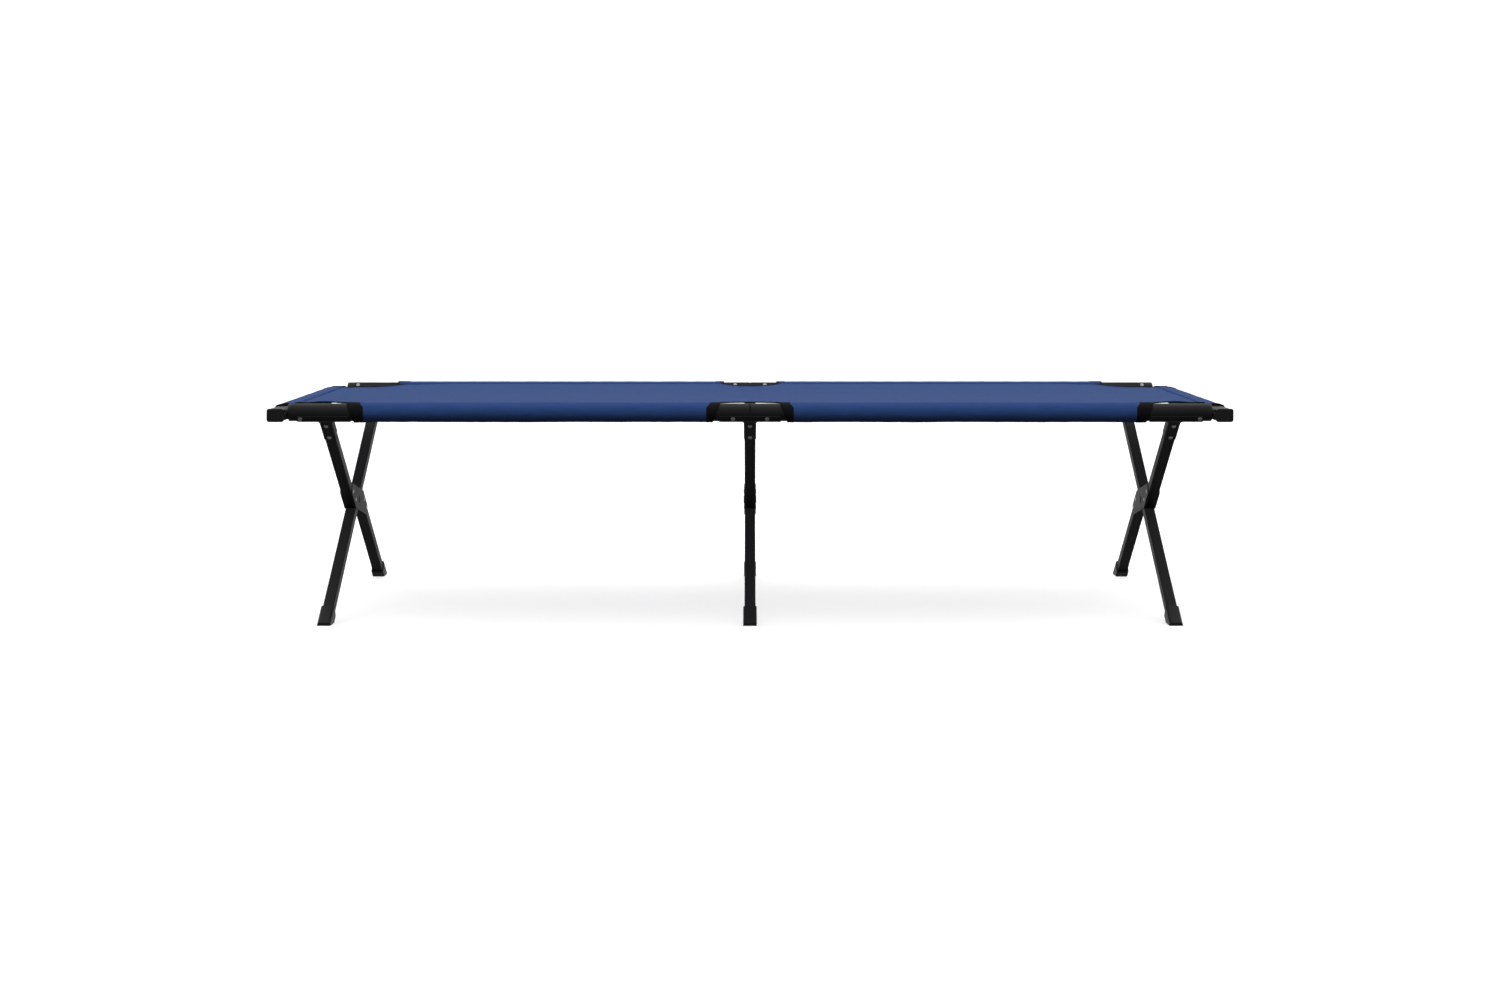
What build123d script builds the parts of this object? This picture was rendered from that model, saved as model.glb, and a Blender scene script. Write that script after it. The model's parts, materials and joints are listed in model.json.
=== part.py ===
from build123d import *
from math import asin, atan2, cos, hypot, radians, sin, sqrt, tan
import os

# A folding camp cot with a cloth deck, two folding side rails and three pairs of crossed legs.
# X runs along the length, -Y is the near side, +Z is up, and the origin is on the floor under the middle.

# Overall sizes
overall_length = 2070.0
overall_width = 800.0
overall_height = 479.0
rail_inset = 22.5

# Cloth
cloth_thickness = 2.0
sleeve_slack = 0.5
hem_slack = 0.5
cloth_gap = 0.3
hem_half_length = 295.0
hem_corner_radius = 6.0
middle_cutout_half_length = 72.0
middle_cutout_depth = 60.0
corner_cutout_length = 139.0
corner_cutout_bow = 45.0

# Side rails
rail_diameter = 38.0
rail_wall = 1.5
rail_end_inset = 51.0
rail_middle_gap = 2.0
hinge_pin_spacing = 73.0
end_pin_inset = 21.0
pin_diameter = 6.0
pin_head_diameter = 10.0
pin_head_height = 1.6
rivet_head_taper = 25.0

# Legs
leg_width = 24.0
leg_wall = 1.5
leg_corner_radius = 3.0
end_leg_inset = 70.0
leg_offset = 29.0
leg_stop_gap = 1.0
leg_end_height = 13.0

# Brackets under the rails
bracket_wall = 1.8
bracket_cheek_height = 6.5
saddle_lean_degrees = 50.0
middle_bracket_length = 132.0
end_bracket_length = 112.0
socket_wall = 1.4
socket_length = 74.0
socket_fillet = 9.0
leg_rivet_first = 16.0
leg_rivet_spacing = 48.0
leg_rivet_diameter = 5.0
leg_rivet_head_diameter = 9.5
leg_rivet_head_height = 2.0

# Fork plates and crossing rivets
fork_half_length = 106.0
fork_thickness = 1.3
fork_play = 0.3
fork_corner_radius = 6.0
fork_rivet_inset = 16.0
fork_rivet_spacing = 38.0
fork_rivet_head_height = 0.9
pivot_diameter = 8.0
pivot_head_diameter = 17.0
pivot_head_height = 1.2
bush_wall = 3.0

# Feet
foot_width = 29.5
foot_depth = 33.0
foot_length = 43.0
foot_corner_radius = 5.0
foot_edge_radius = 0.8
foot_toe_inset = 2.0

# End bars and their caps
bar_width = 34.0
bar_height = 26.0
bar_wall = 1.6
bar_corner_radius = 4.0
bar_drop = 5.2
cap_flange = 6.0
cap_grow = 1.4
cap_insert = 26.0
cap_edge_radius = 2.0
seat_depth = 7.0

# Rail end plugs
plug_insert = 36.0
plug_flange = 6.0
plug_edge_radius = 2.5
nose_diameter = 16.0
nose_chamfer = 1.0
nose_gap = 1.0
seat_gap = 0.4

# Fits
running_clearance = 0.05
press_clearance = 0.02

# Places worked out from the sizes above
rail_radius = rail_diameter / 2
sleeve_inner_radius = rail_radius + sleeve_slack
sleeve_radius = sleeve_inner_radius + cloth_thickness
rail_y = overall_width / 2 - rail_inset
rail_z = overall_height - sleeve_radius
rail_end_x = overall_length / 2 - rail_end_inset
end_leg_x = rail_end_x - end_leg_inset
pivot_z = rail_z / 2
rail_reach = hypot(rail_y, rail_z - pivot_z)
far_lean = atan2(rail_z - pivot_z, rail_y)
near_lean = far_lean + asin(leg_offset / rail_reach)
near_rail_reach = sqrt(rail_reach**2 - leg_offset**2)
half_leg = leg_width / 2

bar_x = overall_length / 2 - cloth_thickness - hem_slack - bar_width / 2
bar_z = rail_z - bar_drop
bar_half_length = overall_width / 2
hem_grow = hem_slack + cloth_thickness
panel_top = bar_z + bar_height / 2 + hem_grow
panel_bottom = panel_top - cloth_thickness
panel_half_length = bar_x - bar_width / 2 - hem_grow - cloth_gap
panel_half_width = rail_y - sqrt(sleeve_radius**2 - (panel_bottom - rail_z) ** 2) - cloth_gap
corner_cutout_x = panel_half_length - corner_cutout_length

sides = (("left", -1), ("right", 1))
pairs = (("left", -end_leg_x), ("middle", 0), ("right", end_leg_x))

# Each frame has its own plane through the crossing rivets: local x runs along the rail,
# local y climbs the leg towards the rail, and the normal points out, away from the cot's middle.
near_frame = Plane((0, 0, pivot_z), (1, 0, 0), (0, -sin(near_lean), -cos(near_lean)))
far_frame = Plane((0, 0, pivot_z), (-1, 0, 0), (0, sin(far_lean), -cos(far_lean)))

# Each rail has a plane too, along its axis, turned so the saddle's cheeks and pins lean less than the leg.
saddle_lean = radians(saddle_lean_degrees)
near_rail = Plane((0, -rail_y, rail_z), (1, 0, 0), (0, -sin(saddle_lean), -cos(saddle_lean)))
far_rail = Plane((0, rail_y, rail_z), (-1, 0, 0), (0, sin(saddle_lean), -cos(saddle_lean)))
rails = (
    ("near", near_frame, near_rail, near_rail_reach, leg_offset),
    ("far", far_frame, far_rail, rail_reach, 0),
)

os.makedirs("parts", exist_ok=True)


def spot(frame, x, climb, out):
    """World point at a world x, a climb along the leg and a distance out of the frame's plane."""
    return frame.from_local_coords(Vector(x * frame.x_dir.X, climb, out))


def face_on(frame, x, climb, out):
    """Plane that looks out of the frame, for pins and rivets."""
    return Plane(spot(frame, x, climb, out), frame.x_dir, frame.z_dir)


def across_leg(frame, x, climb, out):
    """Plane square to the leg, for tubes, sockets and feet."""
    return Plane(spot(frame, x, climb, out), frame.x_dir, frame.y_dir)


def along_x(frame, x, climb, out, way=1):
    """Plane square to the X axis, with its own x pointing out of the frame."""
    return Plane(spot(frame, x, climb, out), frame.z_dir, (way, 0, 0))


def save(block, name):
    block.part.label = name
    export_step(block.part, f"parts/{name}.step")


def add_rivet(middle, half_grip, diameter, head_diameter, head_height):
    """Solid rivet through a plane's origin, with a domed head on each side of the grip."""
    with BuildSketch(middle) as shank:
        Circle(diameter / 2)
    extrude(shank.sketch, amount=half_grip, both=True)
    for way in (1, -1):
        seat = Plane(middle.offset(way * half_grip).origin, middle.x_dir, middle.z_dir * way)
        with BuildSketch(seat) as head:
            Circle(head_diameter / 2)
        extrude(head.sketch, amount=head_height, taper=rivet_head_taper)


def cut_hole(middle, diameter, half_depth):
    with BuildSketch(middle) as hole:
        Circle(diameter / 2)
    extrude(hole.sketch, amount=half_depth, both=True, mode=Mode.SUBTRACT)


def add_tube_section(width, height, radius, wall):
    RectangleRounded(width, height, radius)
    RectangleRounded(width - 2 * wall, height - 2 * wall, max(radius - wall, wall / 4), mode=Mode.SUBTRACT)


# Side rails, with their end plugs and hinge pins
hinge_pin_x = hinge_pin_spacing / 2
end_pin_x = rail_end_x - end_pin_inset
hole_diameter = pin_diameter + 2 * running_clearance
nose_length = panel_half_length + hem_grow + cloth_gap - rail_end_x - plug_flange - nose_gap

for frame_name, frame, rail_plane, climb, out in rails:
    for side, way in sides:
        with BuildPart() as rail:
            with BuildSketch(along_x(rail_plane, way * rail_middle_gap / 2, 0, 0, way)):
                Circle(rail_radius)
                Circle(rail_radius - rail_wall, mode=Mode.SUBTRACT)
            extrude(amount=rail_end_x - rail_middle_gap / 2)
            for pin_x in (hinge_pin_x, end_pin_x):
                cut_hole(face_on(rail_plane, way * pin_x, 0, 0), hole_diameter, rail_diameter)
        save(rail, f"rail_{frame_name}_{side}")

        with BuildPart() as plug:
            with BuildSketch(along_x(rail_plane, way * (rail_end_x - plug_insert), 0, 0, way)):
                Circle(rail_radius - rail_wall - press_clearance)
            extrude(amount=plug_insert)
            with BuildSketch(along_x(rail_plane, way * rail_end_x, 0, 0, way)):
                Circle(rail_radius)
            extrude(amount=plug_flange)
            rim = plug.edges().filter_by(GeomType.CIRCLE).sort_by(Axis.X)[-1 if way > 0 else 0]
            fillet(rim, min(plug_edge_radius, plug_flange / 2))
            with BuildSketch(along_x(rail_plane, way * (rail_end_x + plug_flange), 0, 0, way)):
                Circle(nose_diameter / 2)
            extrude(amount=nose_length)
            tip = plug.edges().filter_by(GeomType.CIRCLE).sort_by(Axis.X)[-1 if way > 0 else 0]
            chamfer(tip, min(nose_chamfer, nose_length / 4))
            cut_hole(face_on(rail_plane, way * end_pin_x, 0, 0), hole_diameter, rail_diameter)
        save(plug, f"rail_plug_{frame_name}_{side}")

    with BuildPart() as rail_pins:
        for pin_x in (-end_pin_x, -hinge_pin_x, hinge_pin_x, end_pin_x):
            add_rivet(
                face_on(rail_plane, pin_x, 0, 0),
                rail_radius + bracket_wall,
                pin_diameter,
                pin_head_diameter,
                pin_head_height,
            )
    save(rail_pins, f"rail_pins_{frame_name}")


# Brackets: a U saddle under the rail and a square socket for the leg
saddle_radius = rail_radius + bracket_wall
socket_width = leg_width + 2 * press_clearance + 2 * socket_wall
leg_hole_diameter = leg_rivet_diameter + 2 * running_clearance


def add_saddle(rail_plane, x_start, length):
    start = along_x(rail_plane, x_start, 0, 0)
    with BuildSketch(start) as saddle:
        Circle(saddle_radius)
        Rectangle(2 * saddle_radius, 2 * bracket_cheek_height)
        climb_way = rail_plane.y_dir.dot(start.y_dir)
        with Locations((0, climb_way * (bracket_cheek_height + saddle_radius / 2))):
            Rectangle(3 * saddle_radius, saddle_radius, mode=Mode.SUBTRACT)
        Circle(rail_radius, mode=Mode.SUBTRACT)
        with Locations((0, climb_way * saddle_radius / 2)):
            Rectangle(rail_diameter, saddle_radius, mode=Mode.SUBTRACT)
    extrude(saddle.sketch, amount=length)


def add_socket(frame, x, climb, out):
    """Square socket below the saddle, with a concave web on each side of its mouth."""
    top = climb - rail_radius
    with BuildSketch(across_leg(frame, x, top - bracket_wall - socket_length, out)) as socket:
        RectangleRounded(socket_width, socket_width, leg_corner_radius + socket_wall)
    extrude(socket.sketch, amount=socket_length + bracket_wall / 2)
    with BuildSketch(face_on(frame, x, top - bracket_wall / 2, out)) as web:
        web_width = socket_width + 2 * socket_fillet
        Rectangle(web_width, socket_fillet + bracket_wall / 2, align=(Align.CENTER, Align.MAX))
        with Locations(
            (socket_width / 2 + socket_fillet, -socket_fillet - bracket_wall / 2),
            (-socket_width / 2 - socket_fillet, -socket_fillet - bracket_wall / 2),
        ):
            Circle(socket_fillet, mode=Mode.SUBTRACT)
    extrude(web.sketch, amount=socket_width / 2 - leg_corner_radius, both=True)
    with BuildSketch(across_leg(frame, x, top - bracket_wall, out)) as pocket:
        RectangleRounded(leg_width + 2 * press_clearance, leg_width + 2 * press_clearance, leg_corner_radius)
    extrude(pocket.sketch, amount=-socket_length - bracket_wall, mode=Mode.SUBTRACT)


def leg_rivet_climbs(rail_climb):
    first = rail_climb - saddle_radius - leg_rivet_first
    return (first, first - leg_rivet_spacing)


for frame_name, frame, rail_plane, climb, out in rails:
    for pair, pair_x in pairs:
        way = 1 if pair_x > 0 else -1
        if pair == "middle":
            length = middle_bracket_length
            pin_places = (-hinge_pin_x, hinge_pin_x)
        else:
            length = end_bracket_length
            pin_places = (way * end_pin_x,)
        with BuildPart() as bracket:
            add_saddle(rail_plane, pair_x - length / 2, length)
            add_socket(frame, pair_x, climb, out)
            for pin_x in pin_places:
                cut_hole(face_on(rail_plane, pin_x, 0, 0), hole_diameter, rail_diameter)
            for rivet_climb in leg_rivet_climbs(climb):
                cut_hole(face_on(frame, pair_x, rivet_climb, out), leg_hole_diameter, leg_width)
        save(bracket, f"bracket_{frame_name}_{pair}")

    with BuildPart() as leg_rivets:
        for pair, pair_x in pairs:
            for rivet_climb in leg_rivet_climbs(climb):
                add_rivet(
                    face_on(frame, pair_x, rivet_climb, out),
                    socket_width / 2,
                    leg_rivet_diameter,
                    leg_rivet_head_diameter,
                    leg_rivet_head_height,
                )
    save(leg_rivets, f"leg_rivets_{frame_name}")


# Legs: square tubes. The near leg's two tubes stop short of the straight far leg that passes between them.
leg_top_gap = rail_radius + bracket_wall
crossing = near_lean + far_lean
near_leg_start = (leg_offset + half_leg) / tan(crossing) + half_leg / sin(crossing) + leg_stop_gap
near_leg_bottom = near_rail_reach - leg_end_height / sin(near_lean)
far_leg_bottom = rail_reach - leg_end_height / sin(far_lean)
fork_rivet_climbs = (
    fork_half_length - fork_rivet_inset,
    fork_half_length - fork_rivet_inset - fork_rivet_spacing,
)
fork_inner = half_leg + fork_play
fork_outer = fork_inner + fork_thickness
pivot_hole_diameter = pivot_diameter + 2 * running_clearance
bush_diameter = pivot_hole_diameter + 2 * bush_wall

for pair, pair_x in pairs:
    with BuildPart() as upper:
        with BuildSketch(across_leg(near_frame, pair_x, near_leg_start, leg_offset)):
            add_tube_section(leg_width, leg_width, leg_corner_radius, leg_wall)
        extrude(amount=near_rail_reach - leg_top_gap - near_leg_start)
        for rivet_climb in leg_rivet_climbs(near_rail_reach):
            cut_hole(face_on(near_frame, pair_x, rivet_climb, leg_offset), leg_hole_diameter, leg_width)
        for rivet_climb in fork_rivet_climbs:
            cut_hole(along_x(near_frame, pair_x, rivet_climb, leg_offset), leg_hole_diameter, leg_width)
    save(upper, f"near_leg_upper_{pair}")

    with BuildPart() as lower:
        with BuildSketch(across_leg(near_frame, pair_x, -near_leg_start, -leg_offset)):
            add_tube_section(leg_width, leg_width, leg_corner_radius, leg_wall)
        extrude(amount=-(near_leg_bottom - near_leg_start))
        for rivet_climb in fork_rivet_climbs:
            cut_hole(along_x(near_frame, pair_x, -rivet_climb, -leg_offset), leg_hole_diameter, leg_width)
    save(lower, f"near_leg_lower_{pair}")

    with BuildPart() as straight:
        with BuildSketch(across_leg(far_frame, pair_x, -far_leg_bottom, 0)):
            add_tube_section(leg_width, leg_width, leg_corner_radius, leg_wall)
        extrude(amount=far_leg_bottom + rail_reach - leg_top_gap)
        for rivet_climb in leg_rivet_climbs(rail_reach):
            cut_hole(face_on(far_frame, pair_x, rivet_climb, 0), leg_hole_diameter, leg_width)
        cut_hole(along_x(far_frame, pair_x, 0, 0), bush_diameter, leg_width)
    save(straight, f"far_leg_{pair}")


# Fork plates on each side of the straight leg, riveted to the upper and lower tubes
for pair, pair_x in pairs:
    with BuildPart() as fork:
        for way in (1, -1):
            with BuildSketch(along_x(near_frame, pair_x + way * fork_inner, 0, 0)) as plate:
                climb_way = near_frame.y_dir.dot(along_x(near_frame, pair_x, 0, 0).y_dir)
                near_edge = leg_offset + half_leg
                inner_edge = leg_offset - half_leg
                with BuildLine():
                    Polyline(
                        (near_edge, climb_way * near_leg_start),
                        (near_edge, climb_way * fork_half_length),
                        (inner_edge, climb_way * fork_half_length),
                        (-near_edge, -climb_way * near_leg_start),
                        (-near_edge, -climb_way * fork_half_length),
                        (-inner_edge, -climb_way * fork_half_length),
                        close=True,
                    )
                make_face()
                fillet(plate.vertices(), fork_corner_radius)
            extrude(amount=way * fork_thickness)
        cut_hole(along_x(near_frame, pair_x, 0, 0), pivot_hole_diameter, leg_width)
        for end in (1, -1):
            for rivet_climb in fork_rivet_climbs:
                rivet_plane = along_x(near_frame, pair_x, end * rivet_climb, end * leg_offset)
                cut_hole(rivet_plane, leg_hole_diameter, leg_width)
    save(fork, f"fork_plates_{pair}")

    with BuildPart() as fork_rivets:
        for end in (1, -1):
            for rivet_climb in fork_rivet_climbs:
                add_rivet(
                    along_x(near_frame, pair_x, end * rivet_climb, end * leg_offset),
                    fork_outer,
                    leg_rivet_diameter,
                    leg_rivet_head_diameter,
                    fork_rivet_head_height,
                )
    save(fork_rivets, f"fork_rivets_{pair}")


# Crossing rivets that each leg pair turns on, and the bushes round them in the straight legs
for pair, pair_x in pairs:
    with BuildPart() as pivot:
        add_rivet(
            along_x(near_frame, pair_x, 0, 0),
            fork_outer,
            pivot_diameter,
            pivot_head_diameter,
            pivot_head_height,
        )
    save(pivot, f"pivot_rivet_{pair}")

with BuildPart() as bushes:
    for pair, pair_x in pairs:
        with BuildSketch(along_x(far_frame, pair_x, 0, 0)):
            Circle(bush_diameter / 2 - press_clearance)
            Circle(pivot_hole_diameter / 2, mode=Mode.SUBTRACT)
        extrude(amount=half_leg, both=True)
save(bushes, "pivot_bushes")


# Feet: caps over the leg ends, cut flat by the floor
foot_pocket = leg_width + 2 * press_clearance
foot_toe_y = overall_width / 2 - foot_toe_inset
for foot_name, toe_way, frame, reach, leg_bottom, out in (
    ("far", 1, near_frame, near_rail_reach, near_leg_bottom, -leg_offset),
    ("near", -1, far_frame, rail_reach, far_leg_bottom, 0),
):
    for pair, pair_x in pairs:
        with BuildPart() as foot:
            with BuildSketch(across_leg(frame, pair_x, -reach + foot_length, out)):
                RectangleRounded(foot_width, foot_depth, foot_corner_radius)
            extrude(amount=-2 * foot_length)
            split(bisect_by=Plane.XY, keep=Keep.TOP)
            split(bisect_by=Plane((0, toe_way * foot_toe_y, 0), (1, 0, 0), (0, toe_way, 0)), keep=Keep.BOTTOM)
            sole = foot.faces().sort_by(Axis.Z)[0]
            fillet(sole.edges(), foot_edge_radius)
            with BuildSketch(across_leg(frame, pair_x, -leg_bottom, out)):
                RectangleRounded(foot_pocket, foot_pocket, leg_corner_radius)
            extrude(amount=2 * foot_length, mode=Mode.SUBTRACT)
        save(foot, f"foot_{foot_name}_{pair}")


# End bars, with a cap at each end whose seat holds the rail plug's nose from below and from outside
nose_seat = nose_diameter / 2 + seat_gap
for side, way in sides:
    with BuildPart() as bar:
        with BuildSketch(Plane((way * bar_x, 0, bar_z), (1, 0, 0), (0, 1, 0))):
            add_tube_section(bar_width, bar_height, bar_corner_radius, bar_wall)
        extrude(amount=bar_half_length - cap_flange, both=True)
    save(bar, f"end_bar_{side}")

    for edge, edge_way in (("near", -1), ("far", 1)):
        inner_x = bar_x - bar_width / 2
        bar_end_y = edge_way * (bar_half_length - cap_flange)
        bar_end = Plane((way * bar_x, bar_end_y, bar_z), (1, 0, 0), (0, edge_way, 0))
        with BuildPart() as cap:
            with BuildSketch(bar_end):
                cap_width = bar_width + 2 * cap_grow
                cap_height = bar_height + 2 * cap_grow
                RectangleRounded(cap_width, cap_height, bar_corner_radius + cap_grow)
            extrude(amount=cap_flange)
            rim = cap.faces().sort_by(Axis.Y)[-1 if edge_way > 0 else 0]
            fillet(rim.edges(), min(cap_edge_radius, cap_flange / 2))
            insert_width = bar_width - 2 * bar_wall - 2 * press_clearance
            insert_height = bar_height - 2 * bar_wall - 2 * press_clearance
            with BuildSketch(bar_end):
                RectangleRounded(insert_width, insert_height, max(bar_corner_radius - bar_wall, bar_wall))
            extrude(amount=-cap_insert)
            with BuildSketch(Plane((way * inner_x, 0, 0), (0, edge_way, 0), (-way, 0, 0))):
                seat_y_way = 1 if Plane((0, 0, 0), (0, edge_way, 0), (-way, 0, 0)).y_dir.Z > 0 else -1
                seat_outer_y = bar_half_length - cap_edge_radius
                seat_bottom = bar_z - bar_height / 2 + bar_corner_radius
                seat_floor = rail_z - nose_seat
                seat_wall_y = rail_y + nose_seat
                seat_inner_y = rail_y - nose_seat
                with BuildLine():
                    Polyline(
                        (seat_inner_y, seat_y_way * seat_bottom),
                        (seat_outer_y, seat_y_way * seat_bottom),
                        (seat_outer_y, seat_y_way * rail_z),
                        (seat_wall_y, seat_y_way * rail_z),
                        (seat_wall_y, seat_y_way * seat_floor),
                        (seat_inner_y, seat_y_way * seat_floor),
                        close=True,
                    )
                make_face()
            extrude(amount=seat_depth)
        save(cap, f"end_cap_{side}_{edge}")


# Cloth: panel, sleeves on the rails and hems on the end bars
for side, way in sides:
    with BuildPart() as hem:
        with BuildSketch(Plane((way * bar_x, 0, bar_z), (1, 0, 0), (0, 1, 0))):
            RectangleRounded(bar_width + 2 * hem_grow, bar_height + 2 * hem_grow, hem_corner_radius)
            RectangleRounded(
                bar_width + 2 * hem_slack,
                bar_height + 2 * hem_slack,
                min(bar_corner_radius, hem_corner_radius) + hem_slack,
                mode=Mode.SUBTRACT,
            )
        extrude(amount=hem_half_length, both=True)
    save(hem, f"hem_{side}")

    for frame_name, frame, rail_plane, climb, out in rails:
        with BuildPart() as sleeve:
            with BuildSketch(along_x(rail_plane, way * middle_cutout_half_length, 0, 0, way)):
                Circle(sleeve_radius)
                Circle(sleeve_inner_radius, mode=Mode.SUBTRACT)
            extrude(amount=corner_cutout_x - middle_cutout_half_length)
        save(sleeve, f"sleeve_{frame_name}_{side}")

with BuildPart() as panel:
    with BuildSketch(Plane.XY.offset(panel_bottom)):
        with BuildLine() as outline:
            scallop_end = (middle_cutout_half_length, panel_half_width)
            scallop_deep = (0, panel_half_width - middle_cutout_depth)
            scallop_mirror = (-middle_cutout_half_length, panel_half_width)
            scallop = ThreePointArc(scallop_mirror, scallop_deep, scallop_end)
            split(bisect_by=Plane.YZ, keep=Keep.TOP)
            straight_edge = Line(scallop_end, (corner_cutout_x, panel_half_width))
            corner = (panel_half_length, hem_half_length)
            middle_x = (corner_cutout_x + panel_half_length) / 2 - corner_cutout_bow
            middle_y = (panel_half_width + hem_half_length) / 2 - corner_cutout_bow
            corner_edge = ThreePointArc(straight_edge @ 1, (middle_x, middle_y), corner)
            end_edge = Line(corner, (panel_half_length, 0))
            mirror(about=Plane.XZ)
            mirror(about=Plane.YZ)
        make_face()
    extrude(amount=cloth_thickness)
save(panel, "deck_panel")
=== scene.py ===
import bpy
import json
import math
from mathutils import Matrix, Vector, noise


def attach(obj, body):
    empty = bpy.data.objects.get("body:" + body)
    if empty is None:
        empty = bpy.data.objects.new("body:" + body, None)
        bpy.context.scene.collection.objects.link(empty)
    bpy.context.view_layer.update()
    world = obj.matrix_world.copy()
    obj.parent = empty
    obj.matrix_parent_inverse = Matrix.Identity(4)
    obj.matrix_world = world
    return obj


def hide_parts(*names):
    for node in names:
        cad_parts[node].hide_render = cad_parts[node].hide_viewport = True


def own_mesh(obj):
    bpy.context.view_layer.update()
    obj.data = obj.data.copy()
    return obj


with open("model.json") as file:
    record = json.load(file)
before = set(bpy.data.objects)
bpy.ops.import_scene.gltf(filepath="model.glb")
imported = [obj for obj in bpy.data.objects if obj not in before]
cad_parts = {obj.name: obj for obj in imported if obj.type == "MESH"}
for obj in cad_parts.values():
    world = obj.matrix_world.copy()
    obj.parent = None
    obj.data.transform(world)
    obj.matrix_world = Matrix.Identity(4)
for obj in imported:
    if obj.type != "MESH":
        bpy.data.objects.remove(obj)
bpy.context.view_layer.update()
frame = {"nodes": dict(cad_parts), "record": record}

# Sizes shared with the CAD model, in metres
RAIL_Y = 0.3775
RAIL_Z = 0.4575
BAR_X = 1.0155
BAR_Z = 0.4523
BAR_WIDTH = 0.034
BAR_HEIGHT = 0.026
BAR_EDGE = BAR_X - BAR_WIDTH / 2
SLEEVE_START = 0.072
SLEEVE_END = 0.8567
HEM_HALF = 0.295
SIDES = (("left", -1), ("right", 1))
RAILS = (("near", -1), ("far", 1))

# Sleeves round the rails
CLOTH_THICKNESS = 0.0012
CLOTH_STEP = 0.008
SLEEVE_RADIUS = 0.0208
SLEEVE_SLANT = 0.008
SLEEVE_ARC_STEPS = 40
SLEEVE_SEAM_STEPS = 6
SEAM_INSET = 0.034
SEAM_Y = RAIL_Y - SEAM_INSET
SEAM_Z = 0.4755
PUCKER_TOP = 0.004
PUCKER_FALL = 0.03
BROAD_PUCKER = 0.0011
BROAD_PUCKER_SCALE = (9.0, 30.0)
BROAD_PUCKER_SEED = 1.7
FINE_PUCKER = 0.0004
FINE_PUCKER_SCALE = (42.0, 60.0)
FINE_PUCKER_SEED = 5.1

# Black binding
BINDING_WIDTH = 0.0215
OUTER_BINDING_WIDTH = 0.0290
BINDING_LIFT = 0.0006
BINDING_REACH = 0.004
BINDING_FIRST = 3
BINDING_LAST = 42
BINDING_CORNER = 0.008
BINDING_STEP = 0.003
EDGE_TAPE_WIDTH = 0.006
EDGE_TAPE_LIFT = 0.0013
EDGE_TAPE_END = 0.004
EDGE_TAPE_STEP = 0.004
# Across the tape in widths, and up in lifts, from its lower edge round the cut edge to its upper edge
EDGE_TAPE_PROFILE = (
    (0.8, -1.0), (0.4, -1.15), (0.0, -1.0), (-0.06, 0.0), (0.0, 1.0), (0.5, 1.2), (1.0, 0.9),
)

# Hems round the end bars
HEM_SEAM_Z = 0.4712
HEM_GROW = 0.0018
HEM_EDGE = BAR_EDGE - HEM_GROW
HEM_CREST = 0.003
HEM_CORNER_RADIUS = 0.005
HEM_CORNER_STEPS = 6
HEM_TOP_STEP = 0.002
HEM_FLAP = 0.027
HEM_FLAP_STEP = 0.001
HEM_FLAP_MARGIN = 0.003
HEM_FLAP_STEPS = 5
HEM_FLAP_DROP = 0.0016
HEM_FLAP_GAP = 0.0012
HEM_SWELL = 0.0007
HEM_SWELL_SCALE_ALONG = 14.0
HEM_SWELL_SCALE_ROUND = 60.0
HEM_BINDING_SHARE = 0.6

# Deck panel
DECK_SAG = 0.009
DECK_QUADS_ACROSS = 80
DECK_FINE_STEP = 0.004
DECK_COARSE_STEP = 0.012
DECK_MIDDLE_ZONE = 0.10
DECK_END_ZONE = 0.84
DECK_BAR_SETBACK = 0.006
DECK_BAR_RAMP = 0.02
DECK_DROP_START = 0.70
DECK_SEAM_COVER = 0.004
DECK_RIPPLE = 0.0007
DECK_RIPPLE_SCALE = (4.0, 16.0)
DECK_RIPPLE_SEED = 2.3
PULL_X = 0.92
PULL_SPREAD = 0.10
PULL_ACROSS_START = 0.45
PULL_ACROSS_RUN = 0.4
PULL_FOLD = 0.0010
PULL_FOLD_SLANT = 0.8
PULL_FOLD_RATE = 95.0
MIDDLE_SCALLOP_HALF = 0.072
MIDDLE_SCALLOP_DEPTH = 0.062
MIDDLE_SCALLOP_POWER = 0.8
CORNER_SCALLOP_START = 0.846
CORNER_SCALLOP_BOW = 0.056
CORNER_SCALLOP_POWER = 0.85

# Stitches
STITCH_PITCH = 0.0062
STITCH_LENGTH = 0.0042
STITCH_RADIUS = 0.00055
STITCH_SINK = 0.0003
STITCH_SIDES = 6
# Along the stitch in lengths, and its size there in radii
STITCH_PROFILE = ((-0.5, 0.35), (-0.32, 0.9), (0.0, 1.0), (0.32, 0.9), (0.5, 0.35))
STITCH_PATH_STEP = 0.01
STITCH_UPRIGHT_LIMIT = 0.01
SEAM_STITCH_INSETS = (0.0035, 0.0085)
SEAM_STITCH_END = 0.01
HEM_STITCH_INSETS = (0.010, 0.016)
HEM_STITCH_END = 0.03

# Colours in linear light, dark then light
COAT_COLOURS = ((0.0030, 0.0030, 0.0032), (0.0060, 0.0060, 0.0064))
COAT_WORN_COLOUR = (0.03, 0.03, 0.032)
PLASTIC_COLOURS = ((0.0040, 0.0040, 0.0043), (0.0075, 0.0075, 0.0080))
STEEL_COLOURS = ((0.30, 0.30, 0.31), (0.45, 0.45, 0.46))
BLUE_COLOURS = ((0.0175, 0.0430, 0.138), (0.024, 0.055, 0.168))
BINDING_COLOURS = ((0.004, 0.004, 0.0044), (0.007, 0.007, 0.0076))
FLOOR_COLOUR = (0.92, 0.92, 0.92)
WORLD_COLOUR = (1.0, 1.0, 1.0)

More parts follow.
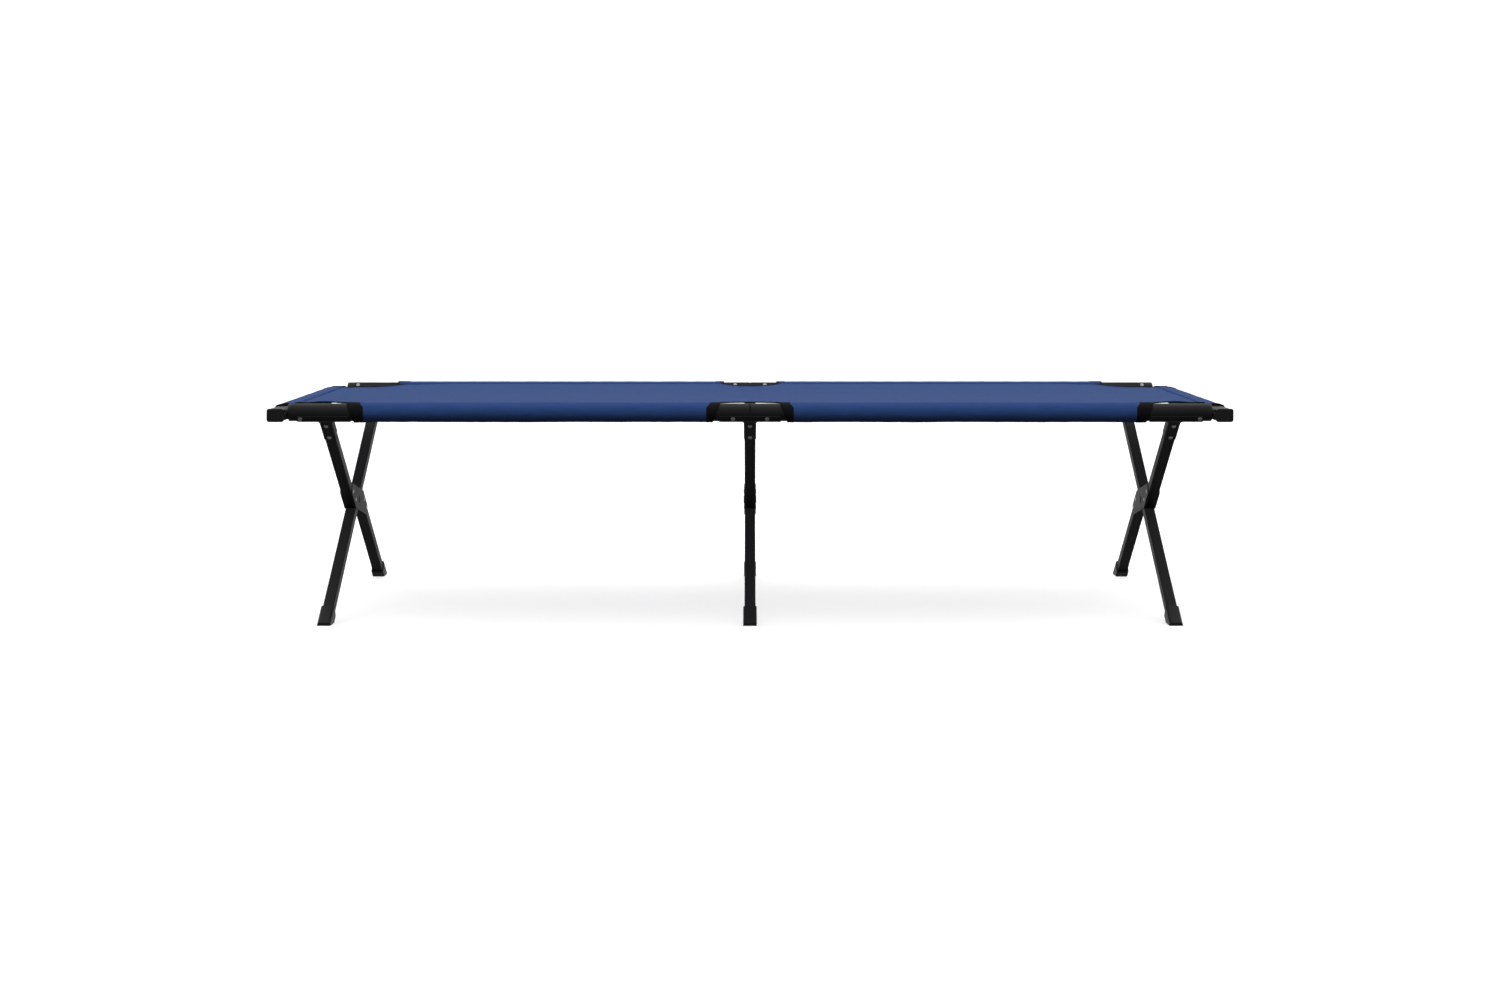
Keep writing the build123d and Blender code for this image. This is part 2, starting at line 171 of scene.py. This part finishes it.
# Finishes: ranges are low then high, and bumps are strength then distance
NOISE_DETAIL = 4.0
NOISE_ROUGHNESS = 0.55
PATCH_RANGE = (0.3, 0.7)
COAT_PATCH_SCALE = 14.0
COAT_ROUGHNESS = (0.46, 0.58)
COAT_SPECULAR = 0.17
COAT_EDGE_RANGE = (0.54, 0.66)
COAT_WEAR = (0.0, 0.25)
COAT_PEEL_SCALE = 900.0
COAT_PEEL_DETAIL = 2.0
COAT_PEEL_BUMP = (0.12, 0.0004)
PLASTIC_PATCH_SCALE = 30.0
PLASTIC_ROUGHNESS = (0.42, 0.58)
PLASTIC_SPECULAR = 0.35
PLASTIC_GRAIN_SCALE = 1500.0
PLASTIC_GRAIN_DETAIL = 3.0
PLASTIC_GRAIN_BUMP = (0.2, 0.0003)
STEEL_PATCH_SCALE = 220.0
STEEL_ROUGHNESS = (0.26, 0.42)
BLUE_PITCH = 0.0011
BINDING_PITCH = 0.0014
THREAD_PITCH = 0.0006
WEAVE_BANDS = 0.314
WEAVE_DISTORTION = 0.6
WEAVE_DETAIL = 1.0
WEAVE_BUMP = (0.35, 0.0005)
# Painted shade in the weave's gaps: the cloth's colour is darkened where the weave is low
WEAVE_PAINTED_SHADE_RANGE = (0.0, 0.35)
WEAVE_PAINTED_SHADE_SHARE = (0.45, 0.0)
WEAVE_PAINTED_SHADE_DARKNESS = 0.55
SLUB_SCALE = (18.0, 260.0, 1.0)
SLUB_NOISE_SCALE = 1.0
SLUB_DETAIL = 3.0
SLUB_RANGE = (0.25, 0.75)
DYE_SHARE = (0.0, 1.0)
CLOTH_ROUGHNESS = 0.85
CLOTH_SPECULAR = 0.1
CLOTH_PUCKER_SCALE = 26.0
CLOTH_PUCKER_DETAIL = 3.0
CLOTH_PUCKER_BUMP = (0.25, 0.004)

# Floor and light
FLOOR_HALF = 60.0
FLOOR_ROUGHNESS = 0.9
WORLD_FRONT_TO_BACK = (-0.6, 0.3)
WORLD_FRONT_BACK_LIGHT = (0.27, 1.05)
WORLD_BELOW_TO_LEVEL = (-0.3, -0.03)
WORLD_BELOW_LEVEL_LIGHT = (0.22, 1.0)
SOFTBOX_PLACE = (0.0, 0.4, 3.4)
SOFTBOX_TARGET = (0.0, 0.0, 0.3)
SOFTBOX_SIZE = (4.0, 2.0)
SOFTBOX_POWER = 20.0
KEY_STRENGTH = 3.0
KEY_ANGLE_DEGREES = 45.0
KEY_DIRECTION = (0.0, 1.0, -1.5)

# Camera, fitted to the photograph
CAMERA_PLACE = (0.0, -5.468, 0.83)
CAMERA_PITCH_DEGREES = 1.96
CAMERA_FOCAL_PIXELS = 2376.0
CAMERA_PRINCIPAL_Y = 320.0
SENSOR_WIDTH = 36.0
PHOTO_WIDTH = 1500.0
PHOTO_HEIGHT = 1000.0


# Materials

def new_material(name):
    material = bpy.data.materials.new(name)
    material.use_nodes = True
    tree = material.node_tree
    return material, tree, tree.nodes["Principled BSDF"]


def add_node(tree, kind, **values):
    """New node with the given values on its input sockets."""
    node = tree.nodes.new(kind)
    for socket, value in values.items():
        node.inputs[socket].default_value = value
    return node


def add_noise(tree, coordinates, scale, detail=NOISE_DETAIL):
    node = add_node(tree, "ShaderNodeTexNoise", Scale=scale, Detail=detail, Roughness=NOISE_ROUGHNESS)
    tree.links.new(coordinates, node.inputs["Vector"])
    return node.outputs["Fac"]


def remap(tree, value, old, new):
    """Maps a value from one (low, high) range to another."""
    node = tree.nodes.new("ShaderNodeMapRange")
    node.inputs["From Min"].default_value, node.inputs["From Max"].default_value = old
    node.inputs["To Min"].default_value, node.inputs["To Max"].default_value = new
    tree.links.new(value, node.inputs["Value"])
    return node.outputs["Result"]


def mix_colours(tree, factor, first, second):
    node = tree.nodes.new("ShaderNodeMix")
    node.data_type = "RGBA"
    tree.links.new(factor, node.inputs["Factor"])
    for socket, colour in ((node.inputs["A"], first), (node.inputs["B"], second)):
        if isinstance(colour, tuple):
            socket.default_value = (*colour, 1.0)
        else:
            tree.links.new(colour, socket)
    return node.outputs["Result"]


def multiply(tree, first, second):
    node = tree.nodes.new("ShaderNodeMath")
    node.operation = "MULTIPLY"
    tree.links.new(first, node.inputs[0])
    tree.links.new(second, node.inputs[1])
    return node.outputs["Value"]


def add_bump(tree, height, bump, under=None):
    strength, distance = bump
    node = add_node(tree, "ShaderNodeBump", Strength=strength, Distance=distance)
    tree.links.new(height, node.inputs["Height"])
    if under is not None:
        tree.links.new(under, node.inputs["Normal"])
    return node.outputs["Normal"]


def object_coordinates(tree):
    return tree.nodes.new("ShaderNodeTexCoord").outputs["Object"]


def add_weave(tree, coordinates, pitch):
    """Plain weave as a height: warp and weft bands whose crossings rise and fall in turn."""
    bands = []
    for direction in ("X", "Y"):
        scale = WEAVE_BANDS / pitch
        node = add_node(
            tree, "ShaderNodeTexWave", Scale=scale, Distortion=WEAVE_DISTORTION, Detail=WEAVE_DETAIL,
        )
        node.bands_direction = direction
        tree.links.new(coordinates, node.inputs["Vector"])
        bands.append(node.outputs["Fac"])
    return multiply(tree, *bands)


def make_powder_coat():
    material, tree, shader = new_material("black_powder_coat")
    place = object_coordinates(tree)
    patches = add_noise(tree, place, COAT_PATCH_SCALE)
    paint = mix_colours(tree, patches, *COAT_COLOURS)
    edges = tree.nodes.new("ShaderNodeNewGeometry").outputs["Pointiness"]
    wear = remap(tree, edges, COAT_EDGE_RANGE, COAT_WEAR)
    tree.links.new(mix_colours(tree, wear, paint, COAT_WORN_COLOUR), shader.inputs["Base Color"])
    tree.links.new(remap(tree, patches, PATCH_RANGE, COAT_ROUGHNESS), shader.inputs["Roughness"])
    shader.inputs["Specular IOR Level"].default_value = COAT_SPECULAR
    peel = add_noise(tree, place, COAT_PEEL_SCALE, COAT_PEEL_DETAIL)
    tree.links.new(add_bump(tree, peel, COAT_PEEL_BUMP), shader.inputs["Normal"])
    return material


def make_moulded_plastic():
    material, tree, shader = new_material("black_moulded_plastic")
    place = object_coordinates(tree)
    patches = add_noise(tree, place, PLASTIC_PATCH_SCALE)
    tree.links.new(mix_colours(tree, patches, *PLASTIC_COLOURS), shader.inputs["Base Color"])
    tree.links.new(remap(tree, patches, PATCH_RANGE, PLASTIC_ROUGHNESS), shader.inputs["Roughness"])
    shader.inputs["Specular IOR Level"].default_value = PLASTIC_SPECULAR
    grain = add_noise(tree, place, PLASTIC_GRAIN_SCALE, PLASTIC_GRAIN_DETAIL)
    tree.links.new(add_bump(tree, grain, PLASTIC_GRAIN_BUMP), shader.inputs["Normal"])
    return material


def make_steel():
    material, tree, shader = new_material("zinc_plated_steel")
    patches = add_noise(tree, object_coordinates(tree), STEEL_PATCH_SCALE)
    tree.links.new(mix_colours(tree, patches, *STEEL_COLOURS), shader.inputs["Base Color"])
    tree.links.new(remap(tree, patches, PATCH_RANGE, STEEL_ROUGHNESS), shader.inputs["Roughness"])
    shader.inputs["Metallic"].default_value = 1.0
    return material


def make_cloth(name, colours, pitch):
    """Woven cloth: uneven dye, a fine plain weave with painted shade in its gaps, and soft, shallow puckers.
    """
    material, tree, shader = new_material(name)
    flat = tree.nodes.new("ShaderNodeUVMap").outputs["UV"]
    weave = add_weave(tree, flat, pitch)
    slubs = add_node(tree, "ShaderNodeMapping", Scale=SLUB_SCALE)
    tree.links.new(flat, slubs.inputs["Vector"])
    streaks = add_noise(tree, slubs.outputs["Vector"], SLUB_NOISE_SCALE, SLUB_DETAIL)
    dye = mix_colours(tree, remap(tree, streaks, SLUB_RANGE, DYE_SHARE), *colours)
    # Painted shade: a darker copy of the dye, put in the gaps between threads where shade falls
    painted_shade_colour = tuple(WEAVE_PAINTED_SHADE_DARKNESS * channel for channel in colours[0])
    painted_shade_share = remap(tree, weave, WEAVE_PAINTED_SHADE_RANGE, WEAVE_PAINTED_SHADE_SHARE)
    tree.links.new(mix_colours(tree, painted_shade_share, dye, painted_shade_colour), shader.inputs["Base Color"])
    shader.inputs["Roughness"].default_value = CLOTH_ROUGHNESS
    shader.inputs["Specular IOR Level"].default_value = CLOTH_SPECULAR
    puckers = add_noise(tree, flat, CLOTH_PUCKER_SCALE, CLOTH_PUCKER_DETAIL)
    soft = add_bump(tree, puckers, CLOTH_PUCKER_BUMP)
    tree.links.new(add_bump(tree, weave, WEAVE_BUMP, soft), shader.inputs["Normal"])
    return material


blue_cloth = make_cloth("blue_woven_cloth", BLUE_COLOURS, BLUE_PITCH)
black_binding = make_cloth("black_woven_binding", BINDING_COLOURS, BINDING_PITCH)
blue_thread = make_cloth("blue_thread", BLUE_COLOURS, THREAD_PITCH)
slot_materials = {
    "frame": make_powder_coat(),
    "plastic": make_moulded_plastic(),
    "steel": make_steel(),
    "cloth": blue_cloth,
}
for part in frame["record"]["subparts"]:
    node = frame["nodes"][part["node"]]
    node.data.materials.clear()
    node.data.materials.append(slot_materials[part["material_slot"]])


# Mesh helpers

def lerp(first, second, share):
    return first + (second - first) * share


def smooth_step(value):
    value = min(max(value, 0.0), 1.0)
    return value * value * (3.0 - 2.0 * value)


def spread(start, end, step):
    """Even values from start to end, about a step apart."""
    count = max(2, round(abs(end - start) / step) + 1)
    return [lerp(start, end, i / (count - 1)) for i in range(count)]


def running_lengths(points):
    lengths = [0.0]
    for first, second in zip(points, points[1:]):
        lengths.append(lengths[-1] + (Vector(second) - Vector(first)).length)
    return lengths


def link_mesh(name, mesh, material):
    """Smooth object with one material, in the scene."""
    for polygon in mesh.polygons:
        polygon.use_smooth = True
    mesh.materials.append(material)
    obj = bpy.data.objects.new(name, mesh)
    bpy.context.scene.collection.objects.link(obj)
    return obj


def sheet_mesh(name, rows, material):
    """Quad mesh from rows of points, with a UV map whose unit is a metre along and across the sheet."""
    count = len(rows[0])
    points = [point for row in rows for point in row]
    faces = []
    for r in range(len(rows) - 1):
        for c in range(count - 1):
            corner = r * count + c
            faces.append((corner, corner + 1, corner + count + 1, corner + count))
    mesh = bpy.data.meshes.new(name)
    mesh.from_pydata(points, [], faces)
    along = running_lengths([row[0] for row in rows])
    across = running_lengths(rows[len(rows) // 2])
    layer = mesh.uv_layers.new(name="UVMap")
    for loop in mesh.loops:
        row, column = divmod(loop.vertex_index, count)
        layer.data[loop.index].uv = (along[row], across[column])
    return link_mesh(name, mesh, material)


def thicken(obj, offset=0.0):
    """Gives a sheet the cloth's thickness and bakes it into the mesh."""
    solid = obj.modifiers.new("thickness", "SOLIDIFY")
    solid.thickness = CLOTH_THICKNESS
    solid.offset = offset
    solid.use_even_offset = True
    graph = bpy.context.evaluated_depsgraph_get()
    baked = bpy.data.meshes.new_from_object(obj.evaluated_get(graph))
    obj.modifiers.clear()
    obj.data = baked
    for polygon in obj.data.polygons:
        polygon.use_smooth = True


# Cloth shapes

def tangent_loop(radius):
    """Teardrop round a rail: from the seam over the top, round the outside and back underneath.

    Points are (inboard, up) from the rail's axis."""
    seam_y = SEAM_INSET
    seam_z = SEAM_Z - RAIL_Z
    toward = math.atan2(seam_z, seam_y)
    opening = math.acos(radius / math.hypot(seam_y, seam_z))
    start = toward + opening
    end = toward - opening + 2.0 * math.pi
    touch = (radius * math.cos(start), radius * math.sin(start))
    leave = (radius * math.cos(end), radius * math.sin(end))
    loop = []
    for i in range(SLEEVE_SEAM_STEPS):
        share = i / SLEEVE_SEAM_STEPS
        loop.append((lerp(seam_y, touch[0], share), lerp(seam_z, touch[1], share)))
    for i in range(SLEEVE_ARC_STEPS + 1):
        angle = lerp(start, end, i / SLEEVE_ARC_STEPS)
        loop.append((radius * math.cos(angle), radius * math.sin(angle)))
    for i in range(1, SLEEVE_SEAM_STEPS + 1):
        share = i / SLEEVE_SEAM_STEPS
        loop.append((lerp(leave[0], seam_y, share), lerp(leave[1], seam_z, share)))
    return loop


def noise_at(first, second, scale, seed):
    return noise.noise(Vector((first * scale[0], second * scale[1], seed)))


def sleeve_pucker(x, up):
    """Small uneven swelling of the sleeve, larger underneath, where the cloth isn't pulled on to the rail."""
    slack = smooth_step((PUCKER_TOP - up) / PUCKER_FALL)
    broad = noise_at(x, up, BROAD_PUCKER_SCALE, BROAD_PUCKER_SEED)
    fine = noise_at(x, up, FINE_PUCKER_SCALE, FINE_PUCKER_SEED)
    return BROAD_PUCKER * slack * broad + FINE_PUCKER * fine


def make_sleeve(name, side_way, x_start, x_end, lift, material, step, binding=None):
    """Cloth round one half rail, with ends that lean out over the top.

    side_way is -1 for the near rail and 1 for the far rail. binding is "inner" or "outer" for the black band
    at one end of the sleeve: it shows only on the outside and underneath, and its upper corner is rounded."""
    loop = tangent_loop(SLEEVE_RADIUS + lift)
    if binding:
        loop = loop[BINDING_FIRST:BINDING_LAST]
    way = 1.0 if x_end > x_start else -1.0
    rows = []
    for x in spread(x_start, x_end, step):
        row = []
        share = (x - x_start) / (x_end - x_start)
        corner = {"inner": -share, "outer": 1.0 - share}.get(binding, 0.0)
        outer = smooth_step(1.0 - (SLEEVE_END - abs(x)) / BINDING_WIDTH)
        inner = smooth_step(1.0 - (abs(x) - SLEEVE_START) / BINDING_WIDTH)
        for inboard, up in loop:
            grow = 1.0 + sleeve_pucker(x, up) / math.hypot(inboard, up)
            lean = SLEEVE_SLANT * (outer - inner) * min(max(up / SLEEVE_RADIUS, -1.0), 1.0)
            lean += BINDING_CORNER * corner * smooth_step(2.0 * up / SLEEVE_RADIUS - 1.0)
            row.append((x + way * lean, side_way * (RAIL_Y - inboard * grow), RAIL_Z + up * grow))
        rows.append(row)
    obj = sheet_mesh(name, rows, material)
    thicken(obj)
    return obj


def seam_edge(x):
    """Half width of the deck panel at x, with the middle and corner scallops cut out of it."""
    along = abs(x)
    base = SEAM_Y + DECK_SEAM_COVER
    if along < MIDDLE_SCALLOP_HALF:
        share = along / MIDDLE_SCALLOP_HALF
        return base - MIDDLE_SCALLOP_DEPTH * (1.0 - share * share) ** MIDDLE_SCALLOP_POWER
    if along > CORNER_SCALLOP_START:
        share = min((along - CORNER_SCALLOP_START) / (HEM_EDGE - CORNER_SCALLOP_START), 1.0)
        bow = CORNER_SCALLOP_BOW * math.sin(math.pi * share) ** CORNER_SCALLOP_POWER
        return lerp(base, HEM_HALF, share) - bow
    return base


def deck_height(x, y):
    """Height of the taut deck, which sags between the rails, drops to the end bars and has faint folds."""
    across = min(abs(y) / SEAM_Y, 1.0)
    to_bar = smooth_step((abs(x) - DECK_DROP_START) / (BAR_EDGE - HEM_FLAP - DECK_DROP_START))
    sag = DECK_SAG * (1.0 - across ** 2) * (1.0 - to_bar)
    ripple = DECK_RIPPLE * noise_at(x, y, DECK_RIPPLE_SCALE, DECK_RIPPLE_SEED)
    pull = math.exp(-(abs(abs(x) - PULL_X) / PULL_SPREAD) ** 2)
    pull *= smooth_step((across - PULL_ACROSS_START) / PULL_ACROSS_RUN)
    folds = PULL_FOLD * pull * math.sin((abs(x) * PULL_FOLD_SLANT + abs(y)) * PULL_FOLD_RATE)
    return lerp(SEAM_Z, HEM_SEAM_Z, to_bar) - sag + ripple + folds


def deck_columns():
    """Places along the deck, closer together where the scallops are cut."""
    inner = spread(0.0, DECK_MIDDLE_ZONE, DECK_FINE_STEP)
    middle = spread(DECK_MIDDLE_ZONE, DECK_END_ZONE, DECK_COARSE_STEP)[1:]
    outer = spread(DECK_END_ZONE, BAR_X - DECK_BAR_SETBACK, DECK_FINE_STEP)[1:]
    positive = inner + middle + outer
    return [-x for x in reversed(positive[1:])] + positive


def make_deck():
    hem_top = BAR_Z + BAR_HEIGHT / 2 + HEM_GROW + HEM_CREST + CLOTH_THICKNESS
    rows = []
    for x in deck_columns():
        over_bar = smooth_step((abs(x) - (BAR_EDGE - DECK_BAR_RAMP)) / DECK_BAR_RAMP)
        row = []
        for i in range(DECK_QUADS_ACROSS + 1):
            y = seam_edge(x) * (-1.0 + 2.0 * i / DECK_QUADS_ACROSS)
            row.append((x, y, lerp(deck_height(x, y), hem_top, over_bar)))
        rows.append(row)
    obj = sheet_mesh("deck_cloth", rows, blue_cloth)
    thicken(obj, 1.0)
    return obj


def edge_tape(name, path, inward):
    """Tape on the deck along a path of (x, y), folded over the cloth's cut edge.

    inward is 1 or -1, for the side of the path that the tape lies on."""
    rows = []
    for i, (x, y) in enumerate(path):
        before = path[max(i - 1, 0)]
        after = path[min(i + 1, len(path) - 1)]
        tangent = Vector((after[0] - before[0], after[1] - before[1])).normalized()
        normal = Vector((-tangent.y, tangent.x)) * inward
        row = []
        for across, up in EDGE_TAPE_PROFILE:
            tape_x = x + normal.x * across * EDGE_TAPE_WIDTH
            tape_y = y + normal.y * across * EDGE_TAPE_WIDTH
            row.append((tape_x, tape_y, deck_height(tape_x, tape_y) + up * EDGE_TAPE_LIFT))
        rows.append(row)
    return sheet_mesh(name, rows, black_binding)


def hem_loop(grow, flap):
    """Loop round an end bar: from the seam inboard, over the bar and back underneath.

    Points are (out, up) from the bar's axis."""
    half_w = BAR_WIDTH / 2 + grow
    half_h = BAR_HEIGHT / 2 + grow
    radius = HEM_CORNER_RADIUS
    seam_out = -half_w - flap
    seam_up = HEM_SEAM_Z - BAR_Z - HEM_FLAP_DROP
    loop = []
    for i in range(HEM_FLAP_STEPS):
        share = i / HEM_FLAP_STEPS
        up = lerp(seam_up, half_h + HEM_CREST, smooth_step(share))
        loop.append((lerp(seam_out, -half_w + radius, share), up))
    for out in spread(-half_w + radius, half_w - radius, HEM_TOP_STEP)[:-1]:
        fall = max(out, 0.0) / (half_w - radius)
        loop.append((out, half_h + HEM_CREST * (1.0 - fall * fall)))
    corners = (
        (half_w - radius, half_h - radius, 90.0),
        (half_w - radius, radius - half_h, 0.0),
        (radius - half_w, radius - half_h, -90.0),
    )
    for centre_out, centre_up, start in corners:
        for i in range(HEM_CORNER_STEPS + 1):
            angle = math.radians(start - 90.0 * i / HEM_CORNER_STEPS)
            loop.append((centre_out + radius * math.cos(angle), centre_up + radius * math.sin(angle)))
    for i in range(1, HEM_FLAP_STEPS + 1):
        share = i / HEM_FLAP_STEPS
        up = lerp(radius - half_h, seam_up - HEM_FLAP_GAP, smooth_step(share))
        loop.append((lerp(-half_w, seam_out, share), up))
    return loop


def flap_room(y):
    """How far the hem's flap reaches inboard at y, under the deck and clear of the corner scallop."""
    flap = HEM_FLAP_STEP
    while flap < HEM_FLAP and seam_edge(HEM_EDGE - flap - HEM_FLAP_STEP) > abs(y) + HEM_FLAP_MARGIN:
        flap += HEM_FLAP_STEP
    return flap


def make_hem(name, way, y_start, y_end, lift, material, step):
    rows = []
    for y in spread(y_start, y_end, step):
        row = []
        for out, up in hem_loop(HEM_GROW + lift, flap_room(y)):
            round_out = out * HEM_SWELL_SCALE_ROUND
            round_up = up * HEM_SWELL_SCALE_ROUND + way
            swell = HEM_SWELL * noise.noise(Vector((y * HEM_SWELL_SCALE_ALONG, round_out, round_up)))
            scale = 1.0 + swell / math.hypot(out, up)
            row.append((way * (BAR_X + out * scale), y, BAR_Z + up * scale))
        rows.append(row)
    obj = sheet_mesh(name, rows, material)
    thicken(obj)
    return obj


def stitch_points(centre, direction):
    """Rings of points of one raised capsule of thread."""
    side = direction.cross(Vector((0.0, 0.0, 1.0)))
    side = side.normalized() if side.length > STITCH_UPRIGHT_LIMIT else Vector((0.0, 1.0, 0.0))
    up = side.cross(direction)
    points = []
    for along, size in STITCH_PROFILE:
        for k in range(STITCH_SIDES):
            angle = 2.0 * math.pi * k / STITCH_SIDES
            offset = side * math.cos(angle) + up * math.sin(angle)
            points.append(centre + direction * along * STITCH_LENGTH + offset * STITCH_RADIUS * size)
    return points


def stitch_faces(base):
    faces = []
    for j in range(len(STITCH_PROFILE) - 1):
        ring = base + j * STITCH_SIDES
        after = ring + STITCH_SIDES
        for k in range(STITCH_SIDES):
            n = (k + 1) % STITCH_SIDES
            faces.append((ring + k, ring + n, after + n, after + k))
    return faces


def make_stitches(name, path):
    """A row of thread stitches along a list of 3-D points."""
    points = []
    faces = []
    travelled = 0.0
    due = STITCH_PITCH / 2
    for first, second in zip(path, path[1:]):
        start = Vector(first)
        step = Vector(second) - start
        length = step.length
        while due <= travelled + length:
            centre = start + step * ((due - travelled) / length)
            faces += stitch_faces(len(points))
            points += stitch_points(centre, step.normalized())
            due += STITCH_PITCH
        travelled += length
    mesh = bpy.data.meshes.new(name)
    mesh.from_pydata(points, [], faces)
    mesh.uv_layers.new(name="UVMap")
    return link_mesh(name, mesh, blue_thread)


def on_deck(x, y):
    return (x, y, deck_height(x, y) + CLOTH_THICKNESS - STITCH_SINK)


# Sleeves with their binding
for rail, side_way in RAILS:
    body = f"{rail}_frame"
    for side, way in SIDES:
        sleeve = make_sleeve(
            f"sleeve_cloth_{rail}_{side}", side_way, way * (SLEEVE_START + BINDING_REACH),
            way * (SLEEVE_END - BINDING_REACH), 0.0, blue_cloth, CLOTH_STEP,
        )
        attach(sleeve, body)
        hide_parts(f"sleeve_{rail}_{side}")
        for place, band_start, band_end in (
            ("inner", SLEEVE_START, SLEEVE_START + BINDING_WIDTH),
            ("outer", SLEEVE_END - OUTER_BINDING_WIDTH, SLEEVE_END),
        ):
            band = make_sleeve(
                f"sleeve_binding_{rail}_{side}_{place}", side_way, way * band_start, way * band_end,
                BINDING_LIFT, black_binding, BINDING_STEP, binding=place,
            )
            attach(band, body)

# Deck panel
deck = make_deck()
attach(deck, "deck")
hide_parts("deck_panel")
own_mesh(deck)

# Tape on the deck's cut edges
deck_pieces = []
middle_places = spread(-MIDDLE_SCALLOP_HALF, MIDDLE_SCALLOP_HALF, EDGE_TAPE_STEP)
corner_places = spread(CORNER_SCALLOP_START, HEM_EDGE - EDGE_TAPE_END, EDGE_TAPE_STEP)
for rail, side_way in RAILS:
    path = [(x, side_way * seam_edge(x)) for x in middle_places]
    deck_pieces.append(edge_tape(f"middle_binding_{rail}", path, -side_way))
    for side, way in SIDES:
        path = [(way * x, side_way * seam_edge(x)) for x in corner_places]
        deck_pieces.append(edge_tape(f"corner_binding_{rail}_{side}", path, -side_way * way))

# End hems with their binding
hem_inner = HEM_HALF - BINDING_REACH
for side, way in SIDES:
    body = f"{side}_end_bar"
    hem = make_hem(f"hem_cloth_{side}", way, -hem_inner, hem_inner, 0.0, blue_cloth, CLOTH_STEP)
    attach(hem, body)
    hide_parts(f"hem_{side}")
    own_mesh(hem)
    for rail, side_way in RAILS:
        band = make_hem(
            f"hem_binding_{side}_{rail}", way, side_way * (HEM_HALF - BINDING_WIDTH * HEM_BINDING_SHARE),
            side_way * HEM_HALF, BINDING_LIFT, black_binding, BINDING_STEP,
        )
        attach(band, body)
        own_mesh(band)

# Stitching along the rails and the hems
for rail, side_way in RAILS:
    for side, way in SIDES:
        stitch_start = way * (SLEEVE_START + SEAM_STITCH_END)
        stitch_end = way * (SLEEVE_END - SEAM_STITCH_END)
        places = spread(stitch_start, stitch_end, STITCH_PATH_STEP)
        for row, inset in enumerate(SEAM_STITCH_INSETS):
            path = [on_deck(x, side_way * (SEAM_Y - inset)) for x in places]
            deck_pieces.append(make_stitches(f"seam_stitches_{rail}_{side}_{row}", path))
for side, way in SIDES:
    places = spread(-HEM_HALF + HEM_STITCH_END, HEM_HALF - HEM_STITCH_END, STITCH_PATH_STEP)
    for row, inset in enumerate(HEM_STITCH_INSETS):
        path = [on_deck(way * (HEM_EDGE - inset), y) for y in places]
        deck_pieces.append(make_stitches(f"hem_stitches_{side}_{row}", path))

for piece in deck_pieces:
    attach(piece, "deck")
    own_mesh(piece)


# Floor, light and camera

def add_object(name, data):
    obj = bpy.data.objects.new(name, data)
    bpy.context.scene.collection.objects.link(obj)
    return obj


def aim(direction):
    """Rotation of a light that shines along a direction."""
    return Vector(direction).to_track_quat("-Z", "Y").to_euler()


floor_paint, _, floor_shader = new_material("pale_floor")
floor_shader.inputs["Base Color"].default_value = (*FLOOR_COLOUR, 1.0)
floor_shader.inputs["Roughness"].default_value = FLOOR_ROUGHNESS
floor_corners = [(x * FLOOR_HALF, y * FLOOR_HALF, 0.0) for x, y in ((-1, -1), (1, -1), (1, 1), (-1, 1))]
floor_mesh = bpy.data.meshes.new("floor")
floor_mesh.from_pydata(floor_corners, [], [(0, 1, 2, 3)])
floor_mesh.materials.append(floor_paint)
floor = add_object("floor", floor_mesh)
floor.visible_diffuse = False
floor.visible_glossy = False

world = bpy.data.worlds.new("studio")
bpy.context.scene.world = world
world.use_nodes = True
sky = world.node_tree
direction = sky.nodes.new("ShaderNodeSeparateXYZ")
sky.links.new(sky.nodes.new("ShaderNodeTexCoord").outputs["Generated"], direction.inputs["Vector"])
depth = remap(sky, direction.outputs["Y"], WORLD_FRONT_TO_BACK, WORLD_FRONT_BACK_LIGHT)
above = remap(sky, direction.outputs["Z"], WORLD_BELOW_TO_LEVEL, WORLD_BELOW_LEVEL_LIGHT)
background = sky.nodes["Background"]
background.inputs["Color"].default_value = (*WORLD_COLOUR, 1.0)
sky.links.new(multiply(sky, depth, above), background.inputs["Strength"])
bpy.context.scene.view_settings.view_transform = "Standard"

softbox_light = bpy.data.lights.new("overhead_softbox", "AREA")
softbox_light.shape = "RECTANGLE"
softbox_light.size, softbox_light.size_y = SOFTBOX_SIZE
softbox_light.energy = SOFTBOX_POWER
softbox = add_object("overhead_softbox", softbox_light)
softbox.location = SOFTBOX_PLACE
softbox.rotation_euler = aim(Vector(SOFTBOX_TARGET) - Vector(SOFTBOX_PLACE))

key_light = bpy.data.lights.new("front_key", "SUN")
key_light.energy = KEY_STRENGTH
key_light.angle = math.radians(KEY_ANGLE_DEGREES)
key_light.use_shadow = False
front_key = add_object("front_key", key_light)
front_key.rotation_euler = aim(KEY_DIRECTION)
front_key.visible_glossy = False

camera_data = bpy.data.cameras.new("camera")
camera_data.sensor_fit = "HORIZONTAL"
camera_data.sensor_width = SENSOR_WIDTH
camera_data.lens = SENSOR_WIDTH * CAMERA_FOCAL_PIXELS / PHOTO_WIDTH
camera_data.shift_y = (CAMERA_PRINCIPAL_Y - PHOTO_HEIGHT / 2) / PHOTO_WIDTH
camera = add_object("camera", camera_data)
camera.location = CAMERA_PLACE
camera.rotation_euler = (math.radians(90.0 - CAMERA_PITCH_DEGREES), 0.0, 0.0)
bpy.context.scene.camera = camera
